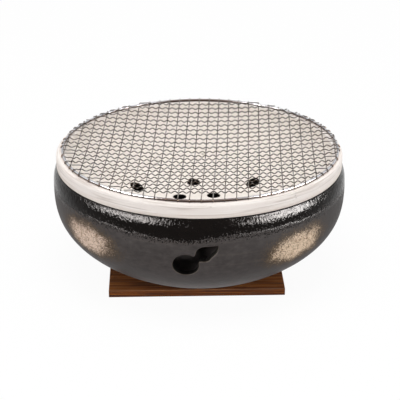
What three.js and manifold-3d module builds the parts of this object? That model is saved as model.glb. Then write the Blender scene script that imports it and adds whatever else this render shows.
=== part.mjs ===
// A round tabletop charcoal brazier: a glazed stoneware shell on a wooden board, a white refractory
// fire bowl that drops into the shell's mouth, and a woven wire grilling net on the bowl's rim.
// Millimetres, +Z up. The origin is on the brazier's axis, level with the underside of the board.

import * as THREE from 'three';
import { mergeVertices } from 'three/addons/utils/BufferGeometryUtils.js';
import Module from 'manifold-3d';

const wasm = await Module();
wasm.setup();

// ---------------------------------------------------------------- driving dimensions

// Clearances
const seatGap = 0.3; // between a piece and what it stands on
const mouthPlay = 1; // all round the fire bowl, where it drops into the shell's mouth

// Wooden board
const boardMargin = 4.5; // how far it reaches past the shell's foot
const boardThick = 7.5;
const boardEdge = 0.8; // broken edges
const boardShift = new THREE.Vector2(-4.6, 2.6); // how far off centre the brazier stands on it
const boardTurn = THREE.MathUtils.degToRad(1.7);

// Stoneware shell, heights above its foot
const bellyRadius = 143;
const bellyHeight = 81.6;
const mouthDraw = 3; // how far the mouth is drawn in from the belly
const shoulderHeight = 18.1; // from the belly up to the top edge
const footRadius = 80;
const footWidth = 12;
const footHeight = 2.5; // depth of the recess inside the foot ring
const shellWall = 8;
const shellFloor = 9;
const lowerCurve = 2.8; // how full the body is below the belly
const shoulderCurve = 2.7; // how full it is above
const lipRound = 1.2; // rounded edges of the mouth

// Gourd-shaped air vent in the front of the shell, seen from the front. Its places are measured to the
// right of the middle and down from the belly.
const ventLobe = { right: -12.3, down: 28.2, radius: 12 }; // large lobe
const ventBud = { right: 4.4, down: 16, radius: 7.7 }; // small lobe
const ventTip = { right: 17, down: 7.5 }; // pointed end of the small lobe
const ventWaist = 7.6; // width where the lobes meet
const ventFlare = 0.25; // how far the lobes' arcs stop short of the waist, in radians
const ventPoint = 1; // where the small lobe's arc turns into the sides of the tip, in radians

// White refractory fire bowl, heights from the underside of its rim
const rimSetback = 0.4; // from the shell's top edge in to the outside of the rim
const rimWidth = 10.1;
const rimHeight = 13.7;
const rimRound = 4; // outer top edge
const rimInnerRound = 1.5;
const rimBevel = 0.6; // lower outer edge
const bowlDepth = 64.5; // from the top of the rim to the floor
const bowlFloorRadius = 62; // flat part of the floor
const bowlCurve = 1.5; // how full the bowl is
const bowlWall = 10;
const bowlFloor = 12; // floor thickness

// Air holes through the floor of the bowl, on three circles; the outer four lie in two opposite pairs.
// Each circle lies this far outside the edge of the flat floor, or inside it where it is negative.
const airHole = 13.5;
const holeTurn = THREE.MathUtils.degToRad(5.2);
const holeSpread = THREE.MathUtils.degToRad(50.9); // of the outer holes, off the line front to back
const holeCircles = [
  { count: 6, outside: -27.5, turn: Math.PI / 6 },
  { count: 4, outside: 2.4, turn: 0 },
  { count: 2, outside: 15, turn: holeSpread },
  { count: 2, outside: 15, turn: -holeSpread },
];

// Grilling net
const netSetback = 4.3; // from the outside of the rim in to the outside of the ring
const ringWire = 2.4;
const netWire = 1.05;
const wireGap = 0.3; // between two wires that cross
const warpCount = 26; // wires that run front to back, spread over the width of the ring
const warpShift = 1; // of the middle of the warps from the middle of the ring
const weftCount = 24; // wires that run left to right
const weftMargin = 13.7; // front and back of the ring that the wefts leave bare
const weftShift = 0.8;
const netDish = 12; // how far the middle of the net lies below its edge
const netDishCurve = 1.2; // 1 for a cone, more for a rounder middle
const hookBend = THREE.MathUtils.degToRad(96); // how far a wire's end is bent down round the ring
const netShift = 0.9;
const netTurn = THREE.MathUtils.degToRad(0.8);

// Fineness of the facets
const roundSteps = 52;
const ringSteps = 60;
const holeSteps = 12;
const hookSteps = 3;
const dishSteps = 6; // straight stretches of a warp across the dish

// ---------------------------------------------------------------- worked out from these

const boardSide = 2 * (footRadius + boardMargin);
const footBase = boardThick + seatGap;
const mouthRadius = bellyRadius - mouthDraw; // outside, at the top edge
const mouthHeight = bellyHeight + shoulderHeight;
const rimRadius = mouthRadius - rimSetback;
const rimInnerRadius = rimRadius - rimWidth;
const rimBase = footBase + mouthHeight + seatGap;
const rimTop = rimBase + rimHeight;
const neckRadius = mouthRadius - shellWall - mouthPlay; // outside of the bowl, inside the mouth
const netWidth = 2 * (rimRadius - netSetback); // over the ring
const warpPitch = netWidth / warpCount;
const weftPitch = (netWidth - 2 * weftMargin) / weftCount;
const ringRadius = (netWidth - ringWire) / 2;
const hookRadius = ringWire / 2 + wireGap + netWire / 2; // middle of a net wire, round the ring
const ringBase = rimTop + seatGap + ringWire / 2;
const weaveLift = netWire + wireGap; // a weft runs this far above or below the warps
const roomOnRing = ringWire + netWire / 2; // a warp nearer than this to a weft's end is on the ring

// ---------------------------------------------------------------- materials

const glaze = new THREE.MeshStandardMaterial({ color: 0x3a3533, roughness: 0.35, metalness: 0 });
const refractory = new THREE.MeshStandardMaterial({ color: 0xece5dd, roughness: 0.8, metalness: 0 });
const steel = new THREE.MeshStandardMaterial({ color: 0x9a9894, roughness: 0.4, metalness: 1 });
const wood = new THREE.MeshStandardMaterial({ color: 0x6b3a22, roughness: 0.6, metalness: 0 });

// ---------------------------------------------------------------- solids

const point = (x, y) => new THREE.Vector2(x, y);

// Closed mesh with shared vertices, as a solid that can be cut.
function toSolid(geometry) {
  const bare = geometry.clone();
  bare.deleteAttribute('normal');
  bare.deleteAttribute('uv');
  const merged = mergeVertices(bare, 1e-4);
  const corners = merged.index.array;
  const kept = [];
  for (let i = 0; i < corners.length; i += 3) {
    const [a, b, c] = corners.slice(i, i + 3);
    if (a !== b && b !== c && c !== a) kept.push(a, b, c);
  }
  const vertProperties = new Float32Array(merged.attributes.position.array);
  return new wasm.Manifold(new wasm.Mesh({ numProp: 3, vertProperties, triVerts: new Uint32Array(kept) }));
}

function toGeometry(solid) {
  const mesh = solid.getMesh();
  const geometry = new THREE.BufferGeometry();
  geometry.setAttribute('position', new THREE.BufferAttribute(mesh.vertProperties, 3));
  geometry.setIndex(new THREE.BufferAttribute(mesh.triVerts, 1));
  geometry.computeVertexNormals();
  return geometry;
}

// Turns a profile of (radius, height) points about the Z axis.
function revolve(profile) {
  const geometry = new THREE.LatheGeometry(profile, roundSteps);
  geometry.rotateX(Math.PI / 2);
  return toSolid(geometry);
}

// The points of an arc about a centre, from one direction to another.
function arc(centre, radius, from, to, steps) {
  return Array.from({ length: steps + 1 }, (_, k) => {
    const angle = from + ((to - from) * k) / steps;
    return point(centre.x + radius * Math.cos(angle), centre.y + radius * Math.sin(angle));
  });
}

// The points of a curve, each moved by a distance square to it, to its left.
function offsetCurve(points, distance) {
  return points.map((p, k) => {
    const along = points[Math.min(k + 1, points.length - 1)].clone().sub(points[Math.max(k - 1, 0)]);
    along.normalize();
    return point(p.x - along.y * distance, p.y + along.x * distance);
  });
}

// ---------------------------------------------------------------- shell

function shellOutline() {
  const lowerSteps = 9;
  const upperSteps = 3;
  const outline = [];
  for (let k = 0; k <= lowerSteps; k += 1) {
    const drop = Math.cos((k / lowerSteps) * (Math.PI / 2)); // 1 at the foot, 0 at the belly
    const radius = footRadius + (bellyRadius - footRadius) * (1 - drop ** lowerCurve);
    outline.push(point(radius, bellyHeight * (1 - drop)));
  }
  for (let k = 1; k <= upperSteps; k += 1) {
    const rise = k / upperSteps;
    const radius = bellyRadius - (bellyRadius - mouthRadius) * rise ** shoulderCurve;
    outline.push(point(radius, bellyHeight + (mouthHeight - lipRound - bellyHeight) * rise));
  }
  return outline;
}

// The outline lies along the line through the two lobes, with its start in the middle of the large one.
function ventShape() {
  const onFront = ({ right, down }) => point(right, bellyHeight - down);
  const lobe = onFront(ventLobe);
  const axis = onFront(ventBud).sub(lobe);
  const lean = axis.angle();
  const apart = axis.length();
  const tip = onFront(ventTip).sub(lobe).rotateAround(point(0, 0), -lean);
  const half = ventWaist / 2;
  const waist = (apart + ventLobe.radius - ventBud.radius) / 2;
  const lobeOpen = Math.asin(half / ventLobe.radius) + ventFlare;
  const budOpen = Math.asin(half / ventBud.radius) + ventFlare;
  const lobeEnd = point(Math.cos(lobeOpen), Math.sin(lobeOpen)).multiplyScalar(ventLobe.radius);
  const budSide = arc(point(apart, 0), ventBud.radius, ventPoint, Math.PI - budOpen, 6);
  const budEnd = budSide[budSide.length - 1];
  const lobeBend = (lobeEnd.x + waist) / 2;
  const budBend = (budEnd.x + waist) / 2;
  const shape = new THREE.Shape();
  shape.absarc(0, 0, ventLobe.radius, lobeOpen, 2 * Math.PI - lobeOpen, false);
  shape.quadraticCurveTo(lobeBend, -half, waist, -half);
  shape.quadraticCurveTo(budBend, -half, budEnd.x, -budEnd.y);
  [...budSide].reverse().forEach((p) => shape.lineTo(p.x, -p.y));
  shape.lineTo(tip.x, tip.y);
  budSide.forEach((p) => shape.lineTo(p.x, p.y));
  shape.quadraticCurveTo(budBend, half, waist, half);
  shape.quadraticCurveTo(lobeBend, half, lobeEnd.x, lobeEnd.y);
  return { shape, lobe, lean };
}

function ventCutter() {
  const { shape, lobe, lean } = ventShape();
  const length = bellyRadius / 3; // reaches through the front wall only
  const cutter = new THREE.ExtrudeGeometry(shape, { depth: length, bevelEnabled: false, curveSegments: 7 });
  cutter.rotateZ(lean);
  cutter.translate(lobe.x, lobe.y, 0);
  cutter.rotateX(Math.PI / 2); // outline upright, seen from the front
  cutter.translate(0, length - bellyRadius - seatGap, 0);
  return toSolid(cutter);
}

function outerShell() {
  const outside = shellOutline();
  const floorTop = footHeight + shellFloor;
  const inside = offsetCurve(outside, shellWall).filter((p) => p.y > floorTop + 1).reverse();
  const insideMouth = mouthRadius - shellWall;
  const profile = [
    point(0, footHeight),
    point(footRadius - footWidth - footHeight, footHeight),
    point(footRadius - footWidth, 0),
    ...outside,
    ...arc(point(mouthRadius - lipRound, mouthHeight - lipRound), lipRound, 0, Math.PI / 2, 2).slice(1),
    ...arc(point(insideMouth + lipRound, mouthHeight - lipRound), lipRound, Math.PI / 2, Math.PI, 2),
    ...inside
      .filter((p) => p.y < mouthHeight - 2 * lipRound)
      .map((p) => point(Math.min(p.x, insideMouth), p.y)),
    point(inside[inside.length - 1].x - shellWall, floorTop),
    point(0, floorTop),
  ];
  return toGeometry(revolve(profile).subtract(ventCutter()));
}

// ---------------------------------------------------------------- fire bowl

// Inside of the bowl from the edge of the flat floor up to the rim.
function bowlInside() {
  const steps = 8;
  const height = bowlDepth - rimInnerRound;
  const width = rimInnerRadius - bowlFloorRadius;
  return Array.from({ length: steps + 1 }, (_, k) => {
    const turn = ((k / steps) * Math.PI) / 2;
    const out = Math.sin(turn) ** (2 / bowlCurve);
    const down = Math.cos(turn) ** (2 / bowlCurve);
    return point(bowlFloorRadius + width * out, rimHeight - rimInnerRound - height * down);
  });
}

function fireBowl() {
  const inside = bowlInside();
  const floorTop = rimHeight - bowlDepth;
  const outside = offsetCurve(inside, -bowlWall)
    .filter((p) => p.y < -rimBevel && p.y > floorTop - bowlFloor + 1)
    .map((p) => point(Math.min(p.x, neckRadius), p.y));
  const rimEdge = point(rimRadius - rimRound, rimHeight - rimRound);
  const rimInnerEdge = point(rimInnerRadius + rimInnerRound, rimHeight - rimInnerRound);
  const profile = [
    point(0, floorTop - bowlFloor),
    point(bowlFloorRadius, floorTop - bowlFloor),
    ...outside,
    point(neckRadius, 0),
    point(rimRadius - rimBevel, 0),
    point(rimRadius, rimBevel),
    ...arc(rimEdge, rimRound, 0, Math.PI / 2, 3),
    ...arc(rimInnerEdge, rimInnerRound, Math.PI / 2, Math.PI, 2),
    ...inside.slice(0, -1).reverse(),
    point(0, floorTop),
  ];
  let bowl = revolve(profile);
  for (const circle of holeCircles) {
    for (let k = 0; k < circle.count; k += 1) {
      const angle = holeTurn + circle.turn + Math.PI / 2 + (k * 2 * Math.PI) / circle.count;
      const radius = bowlFloorRadius + circle.outside;
      const drill = new THREE.CylinderGeometry(airHole / 2, airHole / 2, bowlDepth, holeSteps);
      drill.rotateX(Math.PI / 2);
      drill.translate(radius * Math.cos(angle), radius * Math.sin(angle), floorTop);
      bowl = bowl.subtract(toSolid(drill));
    }
  }
  return toGeometry(bowl);
}

// ---------------------------------------------------------------- net

// A path through a row of points, which an extrusion follows corner by corner.
class Route extends THREE.Curve {
  constructor(points) {
    super();
    this.points = points;
  }

  getPoint(t) {
    const place = t * (this.points.length - 1);
    const k = Math.min(Math.floor(place), this.points.length - 2);
    return this.points[k].clone().lerp(this.points[k + 1], place - k);
  }

  getPointAt(t) {
    return this.getPoint(t);
  }

  getTangentAt(t) {
    const last = this.points.length - 1;
    const k = Math.round(t * last);
    const here = this.points[k];
    const before = here.clone().sub(this.points[Math.max(k - 1, 0)]).normalize();
    const after = this.points[Math.min(k + 1, last)].clone().sub(here).normalize();
    return before.add(after).normalize();
  }
}

// A square wire with the section area of the round one.
function wireAlong(points) {
  const half = (netWire / 2) * Math.sqrt(Math.PI / 4);
  const corners = [point(-half, -half), point(half, -half), point(half, half), point(-half, half)];
  const section = new THREE.Shape(corners);
  const extrudePath = new Route(points);
  return new THREE.ExtrudeGeometry(section, { steps: points.length - 1, extrudePath });
}

// Where a wire at this distance from the middle meets the ring, how much longer than across it the
// wire's way over the ring is there, and how far inside the ring another wire's end can be in its way.
function meeting(place) {
  const reach = Math.sqrt(ringRadius ** 2 - place ** 2);
  const stretch = ringRadius / reach;
  return { reach, stretch, roomInside: 2 * (hookRadius * stretch + netWire) };
}

// The end of a wire, from the top of the ring down round its outside, as (along, height) points.
function hookDown({ reach, stretch }, height) {
  return Array.from({ length: hookSteps + 1 }, (_, k) => {
    const turn = Math.PI / 2 - (hookBend * k) / hookSteps;
    return point(reach + hookRadius * stretch * Math.cos(turn), height * Math.sin(turn));
  });
}

// The places of wires side by side, about a middle that is shifted from the ring's.
function places(count, pitch, shift) {
  return Array.from({ length: count }, (_, k) => (k - (count - 1) / 2) * pitch + shift);
}

const warpPlaces = places(warpCount, warpPitch, warpShift);
const weftPlaces = places(weftCount, weftPitch, weftShift);

// Height of the dished net above the middle of the ring.
function dishHeight(x, y) {
  const share = Math.min(Math.hypot(x, y) / ringRadius, 1);
  return hookRadius - netDish * (1 - share ** netDishCurve);
}

// How far along a warp its bends lie, from one meeting with the ring to the other.
const warpBend = (reach, k) => reach * ((2 * k) / dishSteps - 1);

// A warp dips across the ring and is bent down round it at both ends.
function warpRoute(x) {
  const place = meeting(x);
  const end = hookDown(place, hookRadius);
  const near = [...end].reverse().map((p) => new THREE.Vector3(x, -p.x, p.y));
  const far = end.map((p) => new THREE.Vector3(x, p.x, p.y));
  const dipped = Array.from({ length: dishSteps - 1 }, (_, k) => {
    const y = warpBend(place.reach, k + 1);
    return new THREE.Vector3(x, y, dishHeight(x, y));
  });
  return [...near, ...dipped, ...far];
}

// Height of a warp where a weft crosses it, between two of its bends.
function warpHeight(x, y) {
  const { reach } = meeting(x);
  const k = Math.min(Math.floor(((y / reach + 1) / 2) * dishSteps), dishSteps - 1);
  const [from, to] = [warpBend(reach, k), warpBend(reach, k + 1)];
  return THREE.MathUtils.mapLinear(y, from, to, dishHeight(x, from), dishHeight(x, to));
}

// One end of a weft. It is bent down round the ring like a warp, but from above the warp that it meets
// close to the ring, and where both end at one place on the ring it stays lying on top.
function weftEnd(y, side) {
  const place = meeting(y);
  const { reach, stretch, roomInside } = place;
  const roomOutside = hookRadius * stretch + netWire;
  const gaps = warpPlaces.map((x) => reach - side * x);
  const top = hookRadius + weaveLift;
  const onRing = gaps.find((gap) => gap > -roomOutside && gap <= roomOnRing);
  if (onRing !== undefined) return [point(reach - Math.max(onRing, 0), top), point(reach + netWire, top)];
  const climbs = gaps.some((gap) => gap > roomOnRing && gap <= roomInside);
  return hookDown(place, climbs ? top : hookRadius);
}

// A weft runs over one warp and under the next, and over the one beside the ring.
function weftRoute(y, startsOver) {
  const { reach, roomInside } = meeting(y);
  const crossed = warpPlaces
    .map((x, k) => {
      const gap = reach - Math.abs(x);
      const over = (k % 2 === 0) === startsOver || gap <= roomInside;
      const lift = over ? weaveLift : -weaveLift;
      return { x, gap, lift };
    })
    .filter(({ gap }) => gap > roomOnRing)
    .map(({ x, lift }) => new THREE.Vector3(x, y, warpHeight(x, y) + lift));
  const left = weftEnd(y, -1).reverse().map((p) => new THREE.Vector3(-p.x, y, p.y));
  const right = weftEnd(y, 1).map((p) => new THREE.Vector3(p.x, y, p.y));
  return [...left, ...crossed, ...right];
}

// ---------------------------------------------------------------- assembly

function named(name, geometry, material) {
  const mesh = new THREE.Mesh(geometry, material);
  mesh.name = name;
  return mesh;
}

const numbered = (stem, k) => `${stem}_${String(k + 1).padStart(2, '0')}`;

function board() {
  const half = boardSide / 2 - boardEdge;
  const corners = [point(-half, -half), point(half, -half), point(half, half), point(-half, half)];
  const geometry = new THREE.ExtrudeGeometry(new THREE.Shape(corners), {
    depth: boardThick - 2 * boardEdge,
    bevelThickness: boardEdge,
    bevelSize: boardEdge,
    bevelSegments: 1,
  });
  geometry.translate(0, 0, boardEdge);
  return geometry;
}

const brazier = new THREE.Group();

const baseBoard = named('base_board', board(), wood);
baseBoard.position.set(boardShift.x, boardShift.y, 0);
baseBoard.rotation.z = boardTurn;
brazier.add(baseBoard);

const shell = named('outer_shell', outerShell(), glaze);
shell.position.z = footBase;
brazier.add(shell);

const bowl = named('fire_bowl', fireBowl(), refractory);
bowl.position.z = rimBase;
brazier.add(bowl);

const net = new THREE.Group();
net.position.set(netShift, 0, ringBase);
net.rotation.z = netTurn;
brazier.add(net);

net.add(named('net_ring', new THREE.TorusGeometry(ringRadius, ringWire / 2, 6, ringSteps), steel));
warpPlaces.forEach((x, k) => {
  net.add(named(numbered('net_warp', k), wireAlong(warpRoute(x)), steel));
});
weftPlaces.forEach((y, k) => {
  net.add(named(numbered('net_weft', k), wireAlong(weftRoute(y, k % 2 === 0)), steel));
});

export default brazier;
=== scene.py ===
# %% [markdown]
# # Dressing a tabletop charcoal brazier
# The construction model holds every piece of the brazier at its real size: a wooden board, a stoneware
# shell, a white fire bowl and a woven grilling net. Its faces are flat facets, right for measuring and
# wrong for looking at. This lesson builds a fine surface for each piece round the same sizes and gives it
# its finish. The model is loaded first and never moved.

# %% Load the construction model
import math

import bmesh
import bpy
import numpy as np
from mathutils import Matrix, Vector
from mathutils.geometry import delaunay_2d_cdt


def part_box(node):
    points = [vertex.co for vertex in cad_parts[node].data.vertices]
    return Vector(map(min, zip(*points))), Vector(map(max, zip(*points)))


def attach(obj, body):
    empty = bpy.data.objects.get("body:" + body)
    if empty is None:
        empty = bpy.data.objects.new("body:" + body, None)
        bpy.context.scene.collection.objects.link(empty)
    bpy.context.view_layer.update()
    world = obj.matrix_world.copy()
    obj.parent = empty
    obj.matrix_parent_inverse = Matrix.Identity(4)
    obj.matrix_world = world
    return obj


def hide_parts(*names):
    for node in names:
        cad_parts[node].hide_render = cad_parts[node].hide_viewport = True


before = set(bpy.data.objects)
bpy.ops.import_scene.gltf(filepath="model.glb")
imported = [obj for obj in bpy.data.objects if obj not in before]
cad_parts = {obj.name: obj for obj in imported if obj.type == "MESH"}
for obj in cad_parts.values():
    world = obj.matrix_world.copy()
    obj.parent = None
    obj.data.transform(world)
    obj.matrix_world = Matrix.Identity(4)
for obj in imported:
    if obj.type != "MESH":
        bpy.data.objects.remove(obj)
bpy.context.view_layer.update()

MM = 0.001

# %% [markdown]
# ## Sizes that the frame gives
# Shapes are worked out in millimetres and turned into metres when a mesh is made. What the construction
# model already says is read from the boxes of its pieces, so that nothing can drift away from it.

# %% Read the boxes of the main pieces
def box_mm(node):
    low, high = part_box(node)
    return np.array(low) / MM, np.array(high) / MM


shell_low, shell_high = box_mm("outer_shell")
bowl_low, bowl_high = box_mm("fire_bowl")
print("shell", shell_low.round(1), shell_high.round(1))
print("bowl", bowl_low.round(1), bowl_high.round(1))

# %% [markdown]
# ## The camera
# A product photograph like this one is taken from well back with a long lens, so that the round body
# keeps its shape. The camera is placed by its distance, its height angle and the point it looks at.

# %% Place the camera
def add_object(name, data):
    made = bpy.data.objects.new(name, data)
    bpy.context.scene.collection.objects.link(made)
    return made


AIM = Vector((0.0007, 0.0, 0.0651))
DISTANCE = 1.35
LOOK_DOWN = math.radians(23.66)
LENS = 122.1

camera_data = bpy.data.cameras.new("camera")
camera_data.lens = LENS
camera_data.sensor_width = 36
camera_data.clip_end = 20
camera = add_object("camera", camera_data)
camera.location = AIM + DISTANCE * Vector((0, -math.cos(LOOK_DOWN), math.sin(LOOK_DOWN)))
camera.rotation_euler = (math.pi / 2 - LOOK_DOWN, 0, 0)
bpy.context.scene.camera = camera
print("camera at", camera.location)

# %% [markdown]
# ## Writing a finish with nodes
# Every finish here is a Principled shader whose colour, roughness and bump come from noise in space. A
# picture wrapped round a pot would need a seam, and noise needs none. Two small classes keep the node
# code short. Places are in millimetres, so that a noise size reads as the size of the thing it draws,
# and colours are written from 0 to 255, as a screen shows them.

# %% Helpers for finishes
def seen(red, green, blue):
    """A screen colour as the linear value that a shader wants."""
    return tuple((c / 255 / 12.92) if c <= 10 else ((c / 255 + 0.055) / 1.055) ** 2.4
                 for c in (red, green, blue))


class Nodes:
    def __init__(self, tree):
        self.tree = tree

    def node(self, kind, settings=None, **inputs):
        made = self.tree.nodes.new(kind)
        for key, value in (settings or {}).items():
            setattr(made, key, value)
        for key, value in inputs.items():
            self.feed(made.inputs[key.replace("_", " ")], value)
        return made

    def feed(self, socket, value):
        if isinstance(value, bpy.types.NodeSocket):
            self.tree.links.new(value, socket)
        else:
            socket.default_value = value

    def calc(self, operation, *values):
        made = self.node("ShaderNodeMath", {"operation": operation})
        for socket, value in zip(made.inputs, values):
            self.feed(socket, value)
        return made.outputs[0]

    def times(self, *values):
        return self.calc("MULTIPLY", *values)

    def plus(self, *values):
        return self.calc("ADD", *values)

    def minus(self, *values):
        return self.calc("SUBTRACT", *values)

    def seen_or_mirrored(self):
        """1 for light on its way to the camera or to a mirror, 0 for light that falls on matt things."""
        path = self.node("ShaderNodeLightPath").outputs
        mirrored = self.calc("MAXIMUM", path["Is Glossy Ray"], path["Is Transmission Ray"])
        return self.calc("MAXIMUM", path["Is Camera Ray"], mirrored)


class Finish(Nodes):
    def __init__(self, name, **constants):
        self.material = bpy.data.materials.new(name)
        self.material.use_nodes = True
        super().__init__(self.material.node_tree)
        self.shader = self.tree.nodes["Principled BSDF"]
        for socket, value in constants.items():
            self.shader.inputs[socket.replace("_", " ")].default_value = value
        self.place = self.scaled(self.node("ShaderNodeTexCoord").outputs["Object"], (1 / MM,) * 3)
        split = self.node("ShaderNodeSeparateXYZ", Vector=self.place)
        self.x, self.y, self.z = split.outputs

    def scaled(self, vector, factors):
        made = self.node("ShaderNodeVectorMath", {"operation": "MULTIPLY"})
        self.feed(made.inputs[0], vector)
        self.feed(made.inputs[1], factors)
        return made.outputs[0]

    def noise(self, size, stretch=(1, 1, 1), detail=2.0, roughness=0.5, shift=0.0):
        place = self.scaled(self.place, [1 / (size * s) for s in stretch])
        made = self.node("ShaderNodeTexNoise", {"noise_dimensions": "4D"}, Vector=place, W=shift,
                         Scale=1.0, Detail=detail, Roughness=roughness)
        return made.outputs["Fac"]

    def rise(self, value, low, high):
        made = self.node("ShaderNodeMapRange", {"interpolation_type": "SMOOTHSTEP"}, Value=value)
        self.feed(made.inputs["From Min"], low)
        self.feed(made.inputs["From Max"], high)
        return made.outputs["Result"]

    def fall(self, value, low, high):
        return self.minus(1.0, self.rise(value, low, high))

    def swing(self, noise, width):
        """Noise as a change to either side of nought, over a width in all."""
        return self.times(self.minus(noise, 0.5), width)

    def between(self, share, low, high):
        made = self.node("ShaderNodeMix", {"data_type": "FLOAT"})
        for socket, value in zip(made.inputs[0:1] + made.inputs[2:4], (share, low, high)):
            self.feed(socket, value)
        return made.outputs[0]

    def blend(self, share, under, over):
        made = self.node("ShaderNodeMix", {"data_type": "RGBA"})
        for socket, value in zip(made.inputs[0:1] + made.inputs[6:8], (share, under, over)):
            self.feed(socket, (*seen(*value), 1) if isinstance(value, tuple) else value)
        return made.outputs[2]

    def stain(self, colour, over, share, strength):
        """A colour with part of another over it, where a share says so."""
        return self.blend(self.times(share, strength), colour, over)

    def ramp(self, value, *stops):
        made = self.node("ShaderNodeValToRGB", Fac=value)
        elements = made.color_ramp.elements
        while len(elements) < len(stops):
            elements.new(0.5)
        for element, (position, colour) in zip(elements, stops):
            element.position = position
            element.color = (*seen(*colour), 1)
        return made.outputs["Color"]

    def mark(self, name):
        return self.node("ShaderNodeAttribute", {"attribute_name": name}).outputs["Fac"]

    def bump(self, height, depth):
        made = self.node("ShaderNodeBump", Height=height, Distance=depth * MM, Strength=1.0)
        return made.outputs["Normal"]

    def finish(self, colour, roughness, normal):
        for socket, value in (("Base Color", colour), ("Roughness", roughness), ("Normal", normal)):
            self.feed(self.shader.inputs[socket], value)
        return self.material


print("finishes are made with", Finish.__name__)

# %% [markdown]
# ## Making a piece
# A piece is built from arrays of points and faces. The helper scales it to metres, turns every face
# outward, smooths the shading, hangs it from an empty for the body that it rides on, and hides the
# construction pieces that it stands for.

# %% A helper for pieces
def make_piece(name, points, faces, material, body, replaced, marks=None):
    mesh = bpy.data.meshes.new(name)
    mesh.from_pydata((np.asarray(points) * MM).tolist(), [], [list(map(int, f)) for f in faces])
    for mark, values in (marks or {}).items():
        attribute = mesh.attributes.new(mark, "FLOAT", "POINT")
        attribute.data.foreach_set("value", np.asarray(values, np.float32))
    work = bmesh.new()
    work.from_mesh(mesh)
    bmesh.ops.recalc_face_normals(work, faces=work.faces)
    work.to_mesh(mesh)
    work.free()
    mesh.shade_smooth()
    mesh.materials.append(material)
    piece = add_object(name, mesh)
    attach(piece, body)
    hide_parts(*replaced)
    return piece


def arc(centre, radius, start, end, steps):
    turn = np.radians(np.linspace(start, end, steps + 1))
    return np.stack([centre[0] + radius * np.cos(turn), centre[1] + radius * np.sin(turn)], 1)


def spread(curve, spacing):
    """Points at even distances along a curve, with both ends kept."""
    along = np.r_[0, np.cumsum(np.linalg.norm(np.diff(curve, axis=0), axis=1))]
    places = np.linspace(0, along[-1], max(2, round(along[-1] / spacing) + 1))
    return np.stack([np.interp(places, along, curve[:, k]) for k in range(2)], 1)


def unit(vectors):
    return vectors / np.linalg.norm(vectors, axis=1)[:, None]


def right_of(vectors):
    return np.stack([vectors[:, 1], -vectors[:, 0]], 1)


def sideways(curve, distance):
    """The curve moved to its left by a distance."""
    return curve - distance * right_of(unit(np.gradient(curve, axis=0)))


def outward(loop):
    """Unit vectors out of a closed loop that runs against the clock."""
    return right_of(unit(np.roll(loop, -1, 0) - np.roll(loop, 1, 0)))


def turning(angle):
    """Turns rows of places against the clock when they are multiplied by it."""
    return np.array([[math.cos(angle), math.sin(angle)], [-math.sin(angle), math.cos(angle)]])


def tube_faces(rows, sides):
    """Faces between the rows of points round a tube, with a flat one at each end."""
    start = np.arange(rows - 1)[:, None] * sides
    here, after = start + np.arange(sides), start + (np.arange(sides) + 1) % sides
    faces = np.stack([here, after, after + sides, here + sides], 2).reshape(-1, 4).tolist()
    last = (rows - 1) * sides
    return faces + [list(range(sides))[::-1], list(range(last, last + sides))]


print("pieces are made from millimetres times", MM)

# %% [markdown]
# ## Turning a profile
# Shell and bowl are profiles turned about the upright axis, with a ring of points for each row. A Screw
# modifier would turn them too, but rows that the script numbers itself let it leave out a block of faces
# for an opening and sew a pierced sheet in there. Two marks go with each point, for the finish: how deep
# it lies in an opening's rounded lip, and whether it is on its wall.

# %% Ware turned from a profile
TURNS = 480
WALL_STEPS = 6  # rows of faces through the wall of an opening


def full_turn(count):
    return np.linspace(0, 2 * np.pi, count, endpoint=False)


def joined(near, far):
    """Faces between two rings of points."""
    return np.stack([near, np.roll(near, -1), np.roll(far, -1), far], 1)


def ring_of(row):
    return row * TURNS + np.arange(TURNS)


azimuths = full_turn(TURNS) - np.pi


class Ware:
    def __init__(self, profile, left_out=()):
        rings = np.stack([profile[:, :1] * np.sin(azimuths), -profile[:, :1] * np.cos(azimuths),
                          np.repeat(profile[:, 1:], TURNS, 1)], 2)
        self.points = rings.reshape(-1, 3)
        self.marks = np.zeros((len(self.points), 2))
        self.faces = []
        for row in range(len(profile) - 1):
            quads = joined(ring_of(row), ring_of(row + 1))
            for rows_out, turns_out in left_out:
                if row in rows_out:
                    quads = np.delete(quads, turns_out, 0)
            self.faces += quads.tolist()

    def add(self, points, lip=0.0, wall=0.0):
        """Add points, and return their numbers."""
        first = len(self.points)
        self.points = np.concatenate([self.points, points])
        self.marks = np.concatenate([self.marks, np.zeros((len(points), 2)) + np.c_[lip, wall]])
        return first + np.arange(len(points))

    def sew_in(self, border, sheet, triangles, sink, lip):
        """Add a sheet inside a border that is there already, and return the numbers of its own points."""
        sunk = sink[len(border):] / lip
        own = self.add(sheet[len(border):], sunk, sunk > 0.95)
        self.faces += np.r_[border, own][triangles].tolist()
        return own

    def add_wall(self, first, last):
        """Join two outlines through the thickness of the ware."""
        across, near = self.points[last] - self.points[first], first
        for step in range(1, WALL_STEPS):
            far = self.add(self.points[first] + across * step / WALL_STEPS, wall=1.0)
            self.faces += joined(near, far).tolist()
            near = far
        self.faces += joined(near, last).tolist()

    def close(self, row, height):
        """Close a row with a fan of triangles that meet on the axis."""
        ring, centre = ring_of(row), self.add([(0, 0, height)])
        self.faces += np.stack([ring, np.roll(ring, -1), np.full(TURNS, centre)], 1).tolist()

    def piece(self, name, material, body, slot, replaced):
        marks = {"soft_edge": self.marks[:, 0], "cut_wall": self.marks[:, 1]}
        return make_piece(name, self.points, self.faces, material, body, replaced, marks)


print("points round each ring", TURNS)

# %% [markdown]
# ## Openings with soft edges
# The shell's vent and the bowl's air holes are cut through thick ware and their edges are rubbed soft
# before firing. A Boolean modifier would cut them, but with sharp edges and with slivers that shade badly.
# Here the sheet round an opening is triangulated with the outline as a fixed edge. Points near the
# outline sink along a quarter circle, which gives the rounded lip, and a wall joins the two sheets.

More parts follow.
